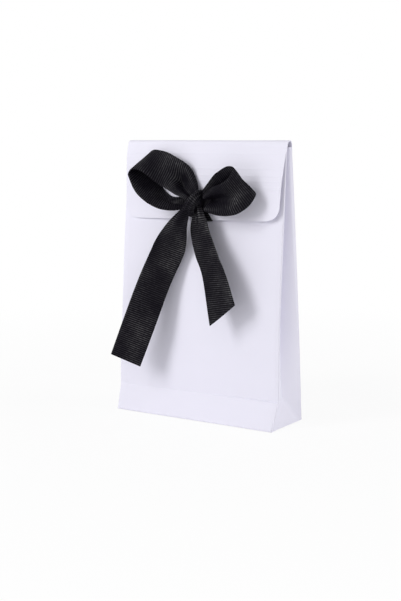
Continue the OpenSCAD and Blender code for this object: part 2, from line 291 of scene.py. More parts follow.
class Socket:
    """An output socket that can be added, multiplied and so on like a number"""

    def __init__(self, finish, link):
        self.finish = finish
        self.link = link

    def math(self, operation, first, second=0.0):
        return self.finish.node("ShaderNodeMath", {"operation": operation}, {0: first, 1: second})

    def __add__(self, other):
        return self.math("ADD", self, other)

    def __radd__(self, other):
        return self.math("ADD", other, self)

    def __rsub__(self, other):
        return self.math("SUBTRACT", other, self)

    def __mul__(self, other):
        return self.math("MULTIPLY", self, other)

    def __pow__(self, other):
        return self.math("POWER", self, other)

    def cosine(self):
        return self.math("COSINE", self)

    def absolute(self):
        return self.math("ABSOLUTE", self)


class Nodes:
    """A node tree whose nodes are made by expressions"""

    def __init__(self, tree):
        self.tree = tree

    def node(self, kind, settings, inputs, output=0):
        """Adds one node: its settings first, then the values or links of its sockets"""
        node = self.tree.nodes.new(kind)
        for name, value in settings.items():
            setattr(node, name, value)
        for name, value in inputs.items():
            self.feed(node.inputs[name], value)
        return Socket(self, node.outputs[output])

    def feed(self, socket, value):
        if isinstance(value, Socket):
            self.tree.links.new(value.link, socket)
        else:
            socket.default_value = value

    def shows_ground(self):
        """1 for the rays that show the white ground: the camera's, and mirrored or refracted ones"""
        seen = self.node("ShaderNodeLightPath", {}, {}, "Is Camera Ray")
        path = seen.link.node
        for kind in ("Is Glossy Ray", "Is Transmission Ray"):
            seen = seen.math("MAXIMUM", seen, Socket(self, path.outputs[kind]))
        return seen


class Finish(Nodes):
    """A material with one main shader"""

    def __init__(self, name):
        self.material = bpy.data.materials.new(name)
        self.material.use_nodes = True
        super().__init__(self.material.node_tree)
        self.surface = self.tree.nodes["Principled BSDF"]
        self.output = self.tree.nodes["Material Output"]

    def set(self, **inputs):
        """Sets the shader's own sockets, named with underscores for spaces"""
        for name, value in inputs.items():
            self.feed(self.surface.inputs[name.replace("_", " ")], value)

    def mix(self, factor, first, second):
        return self.node("ShaderNodeMix", {"data_type": "RGBA"}, {0: factor, 6: first, 7: second}, 2)

    def noise(self, place, scale, detail, roughness=0.5):
        inputs = {"Vector": place, "Scale": scale, "Detail": detail, "Roughness": roughness}
        return self.node("ShaderNodeTexNoise", {}, inputs)

    def bump(self, height, distance, strength):
        inputs = {"Height": height, "Distance": distance, "Strength": strength}
        return self.node("ShaderNodeBump", {}, inputs)


def rgba(colour):
    return (*colour, 1.0)


# Grain of the finishes: noise cells per metre, and sizes in metres

CLOUD_SCALE = 55.0
FIBRE_SCALE = 2400.0
FIBRE_STRETCH = (1.0, 1.0, 0.35)
TOOTH_SCALE = 5200.0
TOOTH_DEPTH = 0.02 * MM
THREAD_PITCH = 0.34 * MM
THREAD_DEPTH = 0.03 * MM
WEAR_SCALE = 900.0
SILK_SCALE = 70.0
SILK_SHIFT = (0.0, 0.1, 0.0)


def paper_finish(settings):
    """Smooth white card with faint clouds, fine fibres and a slight tooth"""
    finish = Finish("white_card")
    place = finish.node("ShaderNodeTexCoord", {}, {}, "Object")
    stretched = finish.node(
        "ShaderNodeVectorMath", {"operation": "MULTIPLY"}, {0: place, 1: FIBRE_STRETCH})
    clouds = finish.noise(place, CLOUD_SCALE, 3.0)
    fibres = finish.noise(stretched, FIBRE_SCALE, 4.0, 0.6)
    tooth = finish.noise(place, TOOTH_SCALE, 2.0)
    finish.set(
        Base_Color=finish.mix(clouds * 0.7 + fibres * 0.3, rgba(settings.colour), rgba(settings.shade)),
        Roughness=0.5 + fibres * 0.16 + clouds * 0.06,
        Specular_IOR_Level=0.35,
        Normal=finish.bump(fibres * 0.7 + tooth * 0.3, TOOTH_DEPTH, 0.5))
    return finish.material


def ribbon_finish(settings):
    """Black ribbed weave: painted shade in the grooves and painted highlights on the crests, threads that
    run over each rib, and a silky glint
    """
    finish = Finish("black_grosgrain")
    across_and_along = finish.node("ShaderNodeUVMap", {"uv_map": "weave"}, {})
    split = finish.node("ShaderNodeSeparateXYZ", {}, {0: across_and_along})
    along = Socket(finish, split.link.node.outputs[1])
    across = Socket(finish, split.link.node.outputs[0])
    rib = (along * (math.pi / settings.rib_pitch)).cosine().absolute()
    threads = (across * (math.tau / THREAD_PITCH)).cosine() * 0.5 + 0.5
    place = finish.node("ShaderNodeTexCoord", {}, {}, "Object")
    wear = finish.noise(place, WEAR_SCALE, 2.0)
    moved = finish.node("ShaderNodeVectorMath", {"operation": "ADD"}, {0: place, 1: SILK_SHIFT})
    silk = finish.noise(moved, SILK_SCALE, 1.0) ** 2.5 * 3.7
    glints = wear ** 2.0 * 2.8 + 0.25
    crest = rib ** 4.0
    # Base colour: the groove colour is painted shade between the ribs, and the rib colour is painted
    # highlights on the crests, broken up a little by random wear
    finish.set(
        Base_Color=finish.mix(
            crest * (0.7 + wear * 0.3), rgba(settings.groove), rgba(settings.colour)),
        Roughness=0.6 - crest * 0.1 + wear * 0.1,
        Specular_IOR_Level=0.02,
        Coat_Weight=crest * silk * glints,
        Coat_Roughness=0.42,
        Normal=finish.bump(threads * rib, THREAD_DEPTH, 0.6))
    return finish.material


# Meshes

SHARP_ANGLE = math.radians(40)


def unit(vectors):
    return vectors / np.linalg.norm(vectors, axis=-1, keepdims=True)


def normals_of(grid):
    return unit(np.cross(np.gradient(grid, axis=0), np.gradient(grid, axis=1)))


def add_piece(name, points, faces, material, coords=None):
    """Makes one closed mesh, smooth but for its sharp edges, with its weave coordinates"""
    mesh = bpy.data.meshes.new(name)
    mesh.from_pydata([tuple(p) for p in points], [], faces)
    if coords is not None:
        layer = mesh.uv_layers.new(name="weave")
        corners = np.array([loop.vertex_index for loop in mesh.loops])
        layer.data.foreach_set("uv", np.asarray(coords, np.float32)[corners].ravel())
    solid = bmesh.new()
    solid.from_mesh(mesh)
    bmesh.ops.recalc_face_normals(solid, faces=solid.faces)
    solid.to_mesh(mesh)
    solid.free()
    mesh.shade_smooth()
    mesh.set_sharp_from_angle(angle=SHARP_ANGLE)
    mesh.materials.append(material)
    piece = bpy.data.objects.new(name, mesh)
    bpy.context.scene.collection.objects.link(piece)
    return piece


def add_sheet(name, face, back, material, coords=None, keep=None):
    """Closes two matching grids of points into one thin solid; keep marks the cells that stay"""
    rows, cols = face.shape[:2]
    count = rows * cols
    cells = np.argwhere(np.ones((rows - 1, cols - 1)) if keep is None else keep)
    faces = []
    border = {}
    for i, j in cells.tolist():
        corner = i * cols + j
        loop = (corner, corner + 1, corner + 1 + cols, corner + cols)
        faces.append(loop)
        faces.append(tuple(v + count for v in reversed(loop)))
        for a, b in zip(loop, loop[1:] + loop[:1]):
            if (b, a) in border:
                del border[(b, a)]
            else:
                border[(a, b)] = True
    faces += [(b, a, a + count, b + count) for a, b in border]
    used = sorted({v for f in faces for v in f})
    place = {v: k for k, v in enumerate(used)}
    points = np.concatenate([face.reshape(-1, 3), back.reshape(-1, 3)])[used]
    if coords is not None:
        coords = np.concatenate([coords.reshape(-1, 2)] * 2)[used]
    return add_piece(name, points, [tuple(place[v] for v in f) for f in faces], material, coords)


def inner_face(grid):
    """The other face of a paper sheet, towards the inside of the bag"""
    normals = normals_of(grid)
    middle = tuple(n // 2 for n in grid.shape[:2])
    side = np.sign(np.dot(normals[middle], INSIDE - grid[middle]))
    return grid + normals * PAPER * side


def smooth_step(t):
    t = np.clip(t, 0, 1)
    return t * t * (3 - 2 * t)


def arc_points(centre, radius, start, end, count):
    angles = np.radians(np.linspace(start, end, count))
    return np.stack([centre[0] + radius * np.cos(angles), centre[1] + radius * np.sin(angles)], 1)


# Paper forms: small sizes in metres, and shares

GROOVE_REACH = 0.3 * MM
WAVES_PER_METRE = (28, 8, 22)
WAVE_MARGIN = 12 * MM
PINCH_RUN = 4 * SCORE_Z
PAST_MOUTH = 1.05
LEAST_WRAP = 1e-3
SIDE_GAP = 0.04 * MM
CORNER_SHARE = 0.7
SHOULDER_RUN = 0.04
OUTER_TAPER = 2 * MM
INNER_TAPER = 4 * MM
INNER_INSET = 0.8 * MM
LEAST_PRESS = 0.25
PRESS_LEFT = 0.3
PINCH_HEIGHT = 20 * MM
SLIT_GAP = 0.35 * MM
RIM_RISE = 0.3 * MM
FRONT_WRAP_START = 0.3 * MM
FRONT_WRAP_RUN = 1.2 * MM
BACK_WRAP_START = 0.6 * MM
BACK_WRAP_RUN = 1.5 * MM
TOP_WRAP_RUN = 6 * MM
FRONT_SEED = 3.0
BACK_SEED = 9.0
FOOT_START = 0.02

def curve(start, lead, trail, end, count):
    """A smooth curve between two points, without its first point"""
    t = np.linspace(0, 1, count + 1)[1:, None]
    points = (start, lead, trail, end)
    return sum(math.comb(3, k) * (1 - t) ** (3 - k) * t ** k * np.array(p) for k, p in enumerate(points))


def grooved(grid, heights, depth):
    """Presses fine grooves into a sheet at some heights"""
    z = grid[..., 2]
    press = sum(np.exp(-((z - height) / GROOVE_REACH) ** 2) for height in heights)
    return grid + normals_of(grid) * (press * depth)[..., None]


def arch(t):
    """0 at both ends and 1 in the middle"""
    return 4 * t * (1 - t)


def back_y(z, paper):
    rise = np.clip(np.asarray(z) / FOLD_Z, 0, 1)
    return HALF_DEPTH + (FOLD_R - HALF_DEPTH) * rise + paper.back_bow * arch(rise)


def front_y(z, x, paper):
    """Outer face of the front at a height, with its crease softened"""
    total = 0
    offsets = np.linspace(-paper.crease, paper.crease, 5)
    for offset in offsets:
        total = total + sharp_front_y(np.asarray(z) + offset, x, paper)
    return total / len(offsets)


def sharp_front_y(z, x, paper):
    rise = np.clip((z - SCORE_Z) / (MOUTH_Z - SCORE_Z), 0, PAST_MOUTH)
    side = (x / HALF_WIDTH + 1) / 2
    bow = paper.bow * (1 + paper.bow_skew * (1 - 2 * side))
    panel = SCORE_Y + (MOUTH_Y - SCORE_Y) * rise - bow * arch(rise)
    band = -HALF_DEPTH + (SCORE_Y + HALF_DEPTH) * z / SCORE_Z
    pinch = -paper.pinch_left + (paper.pinch_left + paper.pinch_right) * side
    fade = np.where(z < SCORE_Z, z / SCORE_Z, 1 - smooth_step((z - SCORE_Z) / PINCH_RUN))
    return np.where(z < SCORE_Z, band, panel) + pinch * fade


def crease_depth(z, side, paper):
    """How far the middle crease of a gusset is folded in, and less so towards the foot"""
    half_gap = (back_y(z, paper) - front_y(z, side * HALF_WIDTH, paper)) / 2
    full = np.sqrt(np.maximum(HALF_DEPTH ** 2 - half_gap ** 2, 0))
    below = 1 - smooth_step((z - SCORE_Z) / paper.spread_height)
    return full * (1 - paper.foot_spread * below)


def across_sheet(path, half_width, wrap, corner, inward, columns=28):
    """A sheet that runs across the bag along a path of (y, z), with its side edges turned inward"""
    tangent = unit(np.gradient(path, axis=0))
    inner = inward * np.stack([-tangent[:, 1], tangent[:, 0]], 1)
    turn = np.maximum(wrap, LEAST_WRAP) * math.pi / 2
    radius = corner * math.pi / 2 / turn
    shares = np.array([1, 2, 3]) / 3
    out = radius[:, None] * np.sin(turn[:, None] * shares)
    depth = radius[:, None] * (1 - np.cos(turn[:, None] * shares))
    flat = (half_width - out[:, -1])[:, None]
    x = np.concatenate([-flat - out[:, ::-1], flat * np.linspace(-1, 1, columns), flat + out], 1)
    level = np.zeros((len(path), columns))
    depth = np.concatenate([depth[:, ::-1], level, depth], 1)[..., None]
    grid = np.zeros((*x.shape, 3))
    grid[..., 0] = x
    grid[..., 1:] = path[:, None] + depth * inner[:, None]
    return grid


def waved(grid, height, seed):
    """Moves the inner points of a grid a little, as paper that was folded by hand lies"""
    normals = normals_of(grid)
    away = np.clip((HALF_WIDTH - np.abs(grid[..., 0])) / WAVE_MARGIN, 0, 1)
    places = grid.reshape(-1, 3) * WAVES_PER_METRE + (0, seed, 0)
    wander = np.array([noise.noise(Vector(p)) for p in places]).reshape(away.shape)
    return grid + normals * (wander * away * height)[..., None]


class BuildOperator:
    """What every building step shares"""

    bl_options = {"REGISTER", "UNDO"}

    def execute(self, context):
        self.build(context.scene.gift_paper, context.scene.gift_ribbon, context.scene.gift_stage)
        return {"FINISHED"}


def material_of(name, make, settings):
    return bpy.data.materials.get(name) or make(settings)


def card(paper):
    return material_of("white_card", paper_finish, paper)


def grosgrain(ribbon):
    return material_of("black_grosgrain", ribbon_finish, ribbon)


class GIFT_OT_front(BuildOperator, bpy.types.Operator):
    """Front sheet: the outer bottom flap, the low band and the front panel"""

    bl_idname = "gift.front"
    bl_label = "Front"

    def build(self, paper, ribbon, stage):
        bottom = np.linspace(OUTER_FLAP_END, -HALF_DEPTH + 2 * paper.crease, 14)
        # The rows lie closer at the score
        rise = np.concatenate([
            np.linspace(0, SCORE_Z - 2 * MM, 16)[1:],
            np.linspace(SCORE_Z - 1.8 * MM, SCORE_Z + 1.8 * MM, 31),
            np.linspace(SCORE_Z + 2.4 * MM, MOUTH_Z, 60),
        ])
        lean = math.atan2(SCORE_Y + HALF_DEPTH, SCORE_Z)
        turn = math.pi / 2 + lean
        reach = paper.crease * math.tan(turn / 2)
        centre = (-HALF_DEPTH + reach, paper.crease)
        bend = arc_points(centre, paper.crease, -90, -90 - math.degrees(turn), 8)
        rise = rise[rise > bend[-1, 1]]
        flat_part = np.stack([bottom[bottom > centre[0]], np.zeros(np.sum(bottom > centre[0]))], 1)
        upright = np.stack([front_y(rise, 0.0, paper), rise], 1)
        path = np.concatenate([flat_part, bend, upright])
        below = len(flat_part)
        wrap = smooth_step((path[:, 1] - FRONT_WRAP_START) / FRONT_WRAP_RUN)
        taper = OUTER_TAPER * np.clip((path[:, 0] + HALF_DEPTH) / (OUTER_FLAP_END + HALF_DEPTH), 0, 1)
        half = HALF_WIDTH - np.where(np.arange(len(path)) < below, taper, 0)
        grid = across_sheet(path, half, wrap, paper.corner, -1)
        z = grid[..., 2]
        x = grid[..., 0]
        grid[..., 1] += np.where(z > bend[-1, 1], front_y(z, x, paper) - front_y(z, 0 * x, paper), 0)
        to_right = smooth_step((x + PRESS_LEFT * HALF_WIDTH) / HALF_WIDTH)
        pressed = LEAST_PRESS + (1 - LEAST_PRESS) * to_right
        grid = grooved(waved(grid, paper.wave, FRONT_SEED), [SCORE_Z], paper.groove * pressed)
        grid[..., 2] = np.maximum(grid[..., 2], 0)
        piece = add_sheet("paper_front", grid, inner_face(grid), card(paper))
        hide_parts("front_panel", "front_base_band", "base_outer_flap")
        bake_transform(piece)


class GIFT_OT_back(BuildOperator, bpy.types.Operator):
    """Back sheet: the inner bottom flap, the back, the fold over the top and the tied flap"""

    bl_idname = "gift.back"
    bl_label = "Back and flap"

    def build(self, paper, ribbon, stage):
        path, half, wrap, first = self.outline(paper)
        grid = across_sheet(path, half, wrap, paper.corner, 1, columns=64)
        grid = waved(grid, paper.wave, BACK_SEED)
        flap = grid[first:]
        side = (grid[..., 0] / HALF_WIDTH + 1) / 2
        near_top = smooth_step((grid[..., 2] - FOLD_Z + PINCH_HEIGHT) / PINCH_HEIGHT)
        before = smooth_step((FOLD_R - grid[..., 1]) / (2 * FOLD_R))
        grid[..., 1] += paper.fold_pinch * smooth_step(side) * near_top * before
        fall = np.clip((FOLD_Z - flap[..., 2]) / (FOLD_Z - FLAP_LOW.z), 0, 1)
        flap[..., 2] += paper.flap_skew * fall ** 2 * flap[..., 0] / HALF_WIDTH
        grid[first:] = grooved(flap, FAINT_SCORES, paper.faint_groove)
        piece = add_sheet(
            "paper_back_flap", grid, inner_face(grid), card(paper),
            keep=self.uncut(grid, first, paper))
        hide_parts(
            "back_panel", "back_base_band", "base_inner_flap", "top_fold", "flap")
        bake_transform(piece)

    def uncut(self, grid, first, paper):
        """Marks the cells that stay when the ribbon's slit is cut"""
        centre = (grid[:-1, :-1] + grid[1:, 1:]) / 2
        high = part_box("ribbon_anchor")[1].z
        beside = np.abs(centre[..., 0] - KNOT[0]) > paper.slit / 2
        apart = np.abs(centre[..., 2] - high) > SLIT_GAP
        elsewhere = np.arange(len(centre))[:, None] < first
        return beside | apart | elsewhere

    def outline(self, paper):
        """Path of the sheet, its half width and turned edge along it, and where the flap starts"""
        lift = PAPER
        heel = HALF_DEPTH - PAPER / 4
        bottom = np.linspace(INNER_FLAP_END, heel - paper.crease, 14)
        flat = np.stack([bottom, np.full(len(bottom), lift)], 1)
        bend = arc_points((heel - paper.crease, lift + paper.crease), paper.crease, -90, 0, 7)[1:]
        heights = np.linspace(lift + 2 * paper.crease, FOLD_Z, 64)
        upright = np.stack([back_y(heights, paper), heights], 1)
        rim = FOLD_Z + FOLD_R + RIM_RISE
        ridge = (-0.8 * MM, rim)
        brow = (-3.6 * MM, rim - 1.4 * MM)
        shoulder = np.array((-5.7 * MM, rim - 11 * MM))
        foot = np.array((FLAP_LOW.y, FLAP_LOW.z))
        down = unit(foot - shoulder)
        top = np.concatenate([
            curve((FOLD_R, FOLD_Z), (FOLD_R, rim - 0.4 * MM), (1.2 * MM, rim), ridge, 9),
            curve(ridge, (-2.4 * MM, rim), (-3.3 * MM, rim - 0.4 * MM), brow, 9),
        ])
        crown = curve(brow, (-4.1 * MM, rim - 3.2 * MM), shoulder - down * 4 * MM, shoulder, 40)
        run = np.linalg.norm(foot - shoulder)
        straight = np.linspace(0, run - paper.flap_corner, 84)[1:]
        curl = run - paper.flap_corner * np.cos(np.radians(np.linspace(0, 90, 13)[1:]))
        hang = shoulder + np.concatenate([straight, curl])[:, None] * down
        path = np.concatenate([flat, bend, upright, top, crown, hang])

        half = np.full(len(path), HALF_WIDTH)
        inward = 1 - (bottom - bottom[0]) / (bottom[-1] - bottom[0])
        half[: len(flat)] -= INNER_TAPER * inward + INNER_INSET
        first = len(path) - len(hang) - len(crown)
        fall = np.clip((FOLD_Z - path[first:, 1]) / (FOLD_Z - foot[1]), 0, 1)
        half[first:] -= paper.flap_taper * fall
        rest = np.clip(foot[1] + paper.flap_corner - path[first:, 1], 0, paper.flap_corner)
        half[first:] -= paper.flap_corner - np.sqrt(paper.flap_corner ** 2 - rest ** 2)

        wrap = np.zeros(len(path))
        body = slice(len(flat), len(flat) + len(bend) + len(upright))
        z = path[body, 1]
        wrap[body] = smooth_step((z - BACK_WRAP_START) / BACK_WRAP_RUN)
        wrap[body] *= smooth_step((FOLD_Z - z) / TOP_WRAP_RUN)
        return path, half, wrap, first


class GIFT_OT_sides(BuildOperator, bpy.types.Operator):
    """Both folded sides: the gusset above the score and the spread fold below it"""

    bl_idname = "gift.sides"
    bl_label = "Sides"

    def build(self, paper, ribbon, stage):
        for side, name in ((-1, "left"), (1, "right")):
            self.gusset(paper, side, name)
            self.base_fold(paper, side, name)

    def folded(self, z, side, paper, depth, middle):
        """Rows of a side that is folded in along its middle"""
        # Places from an edge to the crease, closer at both
        share = np.concatenate([[0, 0.025, 0.05, 0.075], np.linspace(0.1, 0.9, 9), [0.95, 0.98]])
        reach = np.concatenate([share, [1], share[::-1]])
        front = front_y(z, side * HALF_WIDTH, paper) + paper.corner * CORNER_SHARE
        back = back_y(z, paper) - paper.corner * CORNER_SHARE
        edge = HALF_WIDTH - SIDE_GAP
        grid = np.zeros((len(z), len(reach), 3))
        half = len(share)
        rise = (z - SCORE_Z) / (MOUTH_Z - SCORE_Z)
        puff = paper.puff * np.sin(math.pi * rise)[:, None] * np.sin(math.pi * reach)
        grid[..., 0] = side * (edge - depth[:, None] * reach + puff)
        turned = 1 - np.exp(-reach / SHOULDER_RUN)
        drawn = reach + paper.shoulder * (rise ** 2)[:, None] * (1 - reach) * turned
        grid[:, : half + 1, 1] = front[:, None] + (middle - front)[:, None] * drawn[:, : half + 1]
        grid[:, half:, 1] = back[:, None] + (middle - back)[:, None] * drawn[:, half:]
        grid[..., 2] = z[:, None]
        return grid

    def gusset(self, paper, side, name):
        z = np.concatenate([[SCORE_Z], np.linspace(SCORE_Z + 2 * MM, MOUTH_Z, 44)])
        depth = crease_depth(z, side, paper)
        middle = (back_y(z, paper) + front_y(z, side * HALF_WIDTH, paper)) / 2
        grid = self.folded(z, side, paper, depth, middle)
        back = inner_face(grid)
        piece = add_sheet(f"{name}_gusset", grid, back, card(paper))
        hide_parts(f"{name}_gusset_front", f"{name}_gusset_back")
        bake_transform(piece)

    def base_fold(self, paper, side, name):
        """Three triangles: one on the bottom's edge with its tip at the crease, and one on each side"""
        inset = paper.corner * CORNER_SHARE
        edge = side * (HALF_WIDTH - SIDE_GAP)
        top = np.array([SCORE_Z])
        depth = crease_depth(top, side, paper)[0]
        front_top = front_y(top, side * HALF_WIDTH, paper)[0]
        front_low = np.array((edge, -HALF_DEPTH + inset, 0))
        back_low = np.array((edge, HALF_DEPTH - inset, 0))
        front_high = np.array((edge, front_top + inset, SCORE_Z))
        back_high = np.array((edge, back_y(SCORE_Z, paper) - inset, SCORE_Z))
        tip = np.array((edge - side * depth, (back_y(SCORE_Z, paper) + front_top) / 2, SCORE_Z))
        rise = np.linspace(FOOT_START, 1, 18)[:, None, None]
        front_line = front_low + (front_high - front_low) * rise
        back_line = back_low + (back_high - back_low) * rise
        front_fold = front_low + (tip - front_low) * rise
        back_fold = back_low + (tip - back_low) * rise
        t = np.linspace(0, 1, 9)[None, :, None]
        grid = np.concatenate([
            front_line + (front_fold - front_line) * t[:, :-1],
            front_fold + (back_fold - front_fold) * t[:, :-1],
            back_fold + (back_line - back_fold) * t,
        ], 1)
        back = grid - np.array((side * PAPER, 0, 0))
        piece = add_sheet(f"{name}_foot", grid, back, card(paper))
        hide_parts(f"{name}_base_fold")
        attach(piece, "bag")


class GIFT_OT_bottom(BuildOperator, bpy.types.Operator):
    """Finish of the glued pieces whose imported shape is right: the side tabs and the long lap"""

    bl_idname = "gift.bottom"
    bl_label = "Glued tabs and lap"

    def build(self, paper, ribbon, stage):
        for name in ("left_base_tab", "right_base_tab", "glue_lap"):
            mesh = frame["nodes"][name].data
            mesh.materials.clear()
            mesh.materials.append(card(paper))


# Ribbon forms: small sizes in metres, and shares

ROWS_PER_RIB = 6
LINE_STEPS = 600
LEAST_WIDTH = 0.1
SELVEDGE = 0.07
SELVEDGE_SHARE = 0.55
RIB_ROUNDNESS = 0.7
TAIL_SLANT = 8 * MM
TAIL_TRIM = 0.1 * MM
TAIL_AREA = 0.95
STRAND_AREA = 0.8
KNOT_SWELL = 0.9 * MM
KNOT_HALF_LENGTH = 2.9 * MM
KNOT_SHIFT = np.array((-1.0, 0, 1.5)) * MM
KNOT_AXIS = np.array((0.82, 0.0, -0.57))
KNOT_FOLD = 0.4 * MM
KNOT_FOLD_RUN = 2.6 * math.pi
KNOT_SWAY = 1.1
KNOT_SWAY_START = 0.6
KNOT_RIB = 0.04 * MM
KNOT_ROUNDNESS = 0.75
KNOT_FLARE = 0.28
KNOT_STRETCH = 1.25


def spline(run, u):
    """Rows of a run of stations at places that may lie between two of them"""
    padded = np.vstack([2 * run[0] - run[1], run, 2 * run[-1] - run[-2]])
    i = np.clip(np.floor(u).astype(int), 0, len(run) - 2)
    t = (u - i)[:, None]
    a, b, c, d = (padded[i + k] for k in range(4))
    slope = c - a
    bend = 2 * a - 5 * b + 4 * c - d
    twist = 3 * b - a - 3 * c + d
    return (2 * b + slope * t + bend * t ** 2 + twist * t ** 3) / 2


def ribbon_strip(name, ribbon, stations, folds, width):
    """A strip of ribbed ribbon along stations, folded where it is gathered"""
    run = np.array(stations, float)
    run[:, :3] *= MM
    fine = np.linspace(0, len(run) - 1, LINE_STEPS)
    line = spline(run, fine)[:, :3]
    length = np.concatenate([[0], np.cumsum(np.linalg.norm(np.diff(line, axis=0), axis=1))])
    rows = int(length[-1] / ribbon.rib_pitch * ROWS_PER_RIB)
    along = np.linspace(0, length[-1], rows + 1)
    row = spline(run, np.interp(along, length, fine))
    centre = KNOT + row[:, :3]
    side = unit(row[:, 3:6])
    up = unit(np.cross(unit(np.gradient(centre, axis=0)), side))
    share = np.clip(row[:, 6], LEAST_WIDTH, 1)
    # Places across, closer at the selvedges
    q = np.concatenate([[-1, -0.97], np.linspace(-0.93, 0.93, 25), [0.97, 1]])
    lift = np.zeros((len(along), len(q)))
    for end, middle, depth, place, spread, reach in folds:
        distance = length[-1] - along if end else along
        fade = np.exp(-((distance - middle * MM) / (reach * MM)) ** 2)
        lift += depth * MM * fade[:, None] * np.exp(-((q - place) / spread) ** 2)
    flat_x = share[:, None] * q * width / 2
    grid = centre[:, None] + side[:, None] * flat_x[..., None] + up[:, None] * lift[..., None]
    selvedge = smooth_step((1 - np.abs(q)) / SELVEDGE)
    ridge = np.abs(np.cos(math.pi * along / ribbon.rib_pitch)) ** RIB_ROUNDNESS
    cloth = ribbon.thickness / 2 * (SELVEDGE_SHARE + (1 - SELVEDGE_SHARE) * selvedge)
    half = cloth + ribbon.rib_height * ridge[:, None] * selvedge
    coords = np.zeros((*grid.shape[:2], 2))
    coords[..., 0] = q * width / 2
    coords[..., 1] = along[:, None]
    rise = normals_of(grid) * half[..., None]
    piece = add_sheet(name, grid + rise, grid - rise, grosgrain(ribbon), coords)
    return piece, length[-1]


class GIFT_OT_loops(BuildOperator, bpy.types.Operator):
    """Both loops of the bow"""

    bl_idname = "gift.loops"
    bl_label = "Loops"

    def build(self, paper, ribbon, stage):
        for name, stations, folds in (
                ("left_loop", LEFT_LOOP, LEFT_LOOP_FOLDS), ("right_loop", RIGHT_LOOP, RIGHT_LOOP_FOLDS)):
            piece, length = ribbon_strip(f"{name}_ribbon", ribbon, stations, folds, ribbon.width)
            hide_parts(name)
            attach(piece, "tied_flap")


class GIFT_OT_tails(BuildOperator, bpy.types.Operator):
    """Both hanging tails of the bow"""

    bl_idname = "gift.tails"
    bl_label = "Tails"

    def build(self, paper, ribbon, stage):
        for name, stations, folds in (
                ("left_tail", [LEFT_TAIL_ROOT, *LEFT_TAIL], LEFT_TAIL_FOLDS),
                ("right_tail", [RIGHT_TAIL_ROOT, *RIGHT_TAIL], RIGHT_TAIL_FOLDS)):
            piece, length = ribbon_strip(f"{name}_ribbon", ribbon, stations, folds, ribbon.width)
            if name == "right_tail":
                self.slant(piece, stations, ribbon)
            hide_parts(name)
            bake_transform(piece)
            ribbon.width * length * TAIL_AREA

    def slant(self, piece, stations, ribbon):
        """Cuts the end of a tail on the slant, shorter at its right edge"""
        end = np.array(stations[-1], float)
        before = np.array(stations[-2], float)
        down = unit(end[:3] - before[:3])
        side = unit(end[3:6])
        low = KNOT + end[:3] * MM - side * ribbon.width / 2
        high = KNOT + end[:3] * MM + side * ribbon.width / 2 - down * TAIL_SLANT
        level = np.cross(side, down)
        normal = np.cross(unit(high - low), level)
        normal *= np.sign(np.dot(normal, down))
        solid = bmesh.new()
        solid.from_mesh(piece.data)
        cut = bmesh.ops.bisect_plane(
            solid, geom=[*solid.verts, *solid.edges, *solid.faces], plane_co=low + down * TAIL_TRIM,
            plane_no=normal, clear_outer=True)
        rim = [e for e in cut["geom_cut"] if isinstance(e, bmesh.types.BMEdge)]
        bmesh.ops.holes_fill(solid, edges=rim)
        bmesh.ops.recalc_face_normals(solid, faces=solid.faces)
        solid.to_mesh(piece.data)
        solid.free()


class GIFT_OT_knot(BuildOperator, bpy.types.Operator):
    """The wrapped knot, and the strand through the slit and round the flap's edge"""

    bl_idname = "gift.knot"
    bl_label = "Knot and strand"

    def build(self, paper, ribbon, stage):
        self.strand(ribbon)
        self.knot(ribbon)

    def strand(self, ribbon):
        piece, length = ribbon_strip("strand_ribbon", ribbon, STRAND, STRAND_FOLDS, ribbon.strand_width)
        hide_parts("ribbon_anchor")
        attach(piece, "tied_flap")
        ribbon.strand_width * length * STRAND_AREA

    def knot(self, ribbon):
        low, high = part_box("ribbon_knot")
        radius = (high.y - low.y) / 2 + KNOT_SWELL
        centre = KNOT + KNOT_SHIFT
        axis = unit(KNOT_AXIS)
        out = np.array((0.0, -1.0, 0.0))
        low_left = np.cross(axis, out)
        turns = np.linspace(0, math.tau, 241)[:-1]
        v = np.sin(np.linspace(-math.pi / 2, math.pi / 2, 49))[:, None]
        sway = KNOT_SWAY * np.sin(turns + KNOT_SWAY_START)
        folds = KNOT_FOLD * np.cos(KNOT_FOLD_RUN * v + sway) * (1 - v ** 4)
        rib_count = round(math.tau * radius / ribbon.rib_pitch)
        ribs = KNOT_RIB * np.abs(np.cos(turns * rib_count / 2))
        body = radius * np.sqrt(1 - (KNOT_ROUNDNESS * v) ** 2) + folds + ribs
        spread = KNOT_HALF_LENGTH * v * (1 + KNOT_FLARE * np.sin(turns))
        round_axis = np.cos(turns)[:, None] * out + KNOT_STRETCH * np.sin(turns)[:, None] * low_left
        points = centre + axis * spread[..., None] + body[..., None] * round_axis
        rows, cols = body.shape
        faces = [
            (i * cols + j, i * cols + (j + 1) % cols, (i + 1) * cols + (j + 1) % cols, (i + 1) * cols + j)
            for i in range(rows - 1) for j in range(cols)]
        faces.append(tuple(range(cols)))
        faces.append(tuple((rows - 1) * cols + j for j in range(cols)))
        coords = np.zeros((rows, cols, 2))
        coords[..., 0] = v * KNOT_HALF_LENGTH
        coords[..., 1] = turns * radius
        piece = add_piece(
            "wrapped_knot", points.reshape(-1, 3), faces, grosgrain(ribbon),
            coords.reshape(-1, 2))
        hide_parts("ribbon_knot")
        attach(piece, "tied_flap")


# Stage: sizes of the lamps and the ways that their light travels, in metres, and the ground

KEY_SIZE = (0.36, 0.70)
KEY_TRAVEL = (0.44, 0.80, -0.44)
FILL_SIZE = (0.7, 0.7)
FILL_TRAVEL = (-0.9, -0.3, -0.3)
SENSOR_MM = 36
CLIP_START = 0.01
FLOOR_REACH = 3.0
FLOOR_LEVEL = -0.2 * MM
FLOOR_COLOUR = (0.92, 0.92, 0.93, 1)
GROUND_NEAR = 0.1
GROUND_FAR = 0.4
GROUND_SHARE_NEAR = 0.9


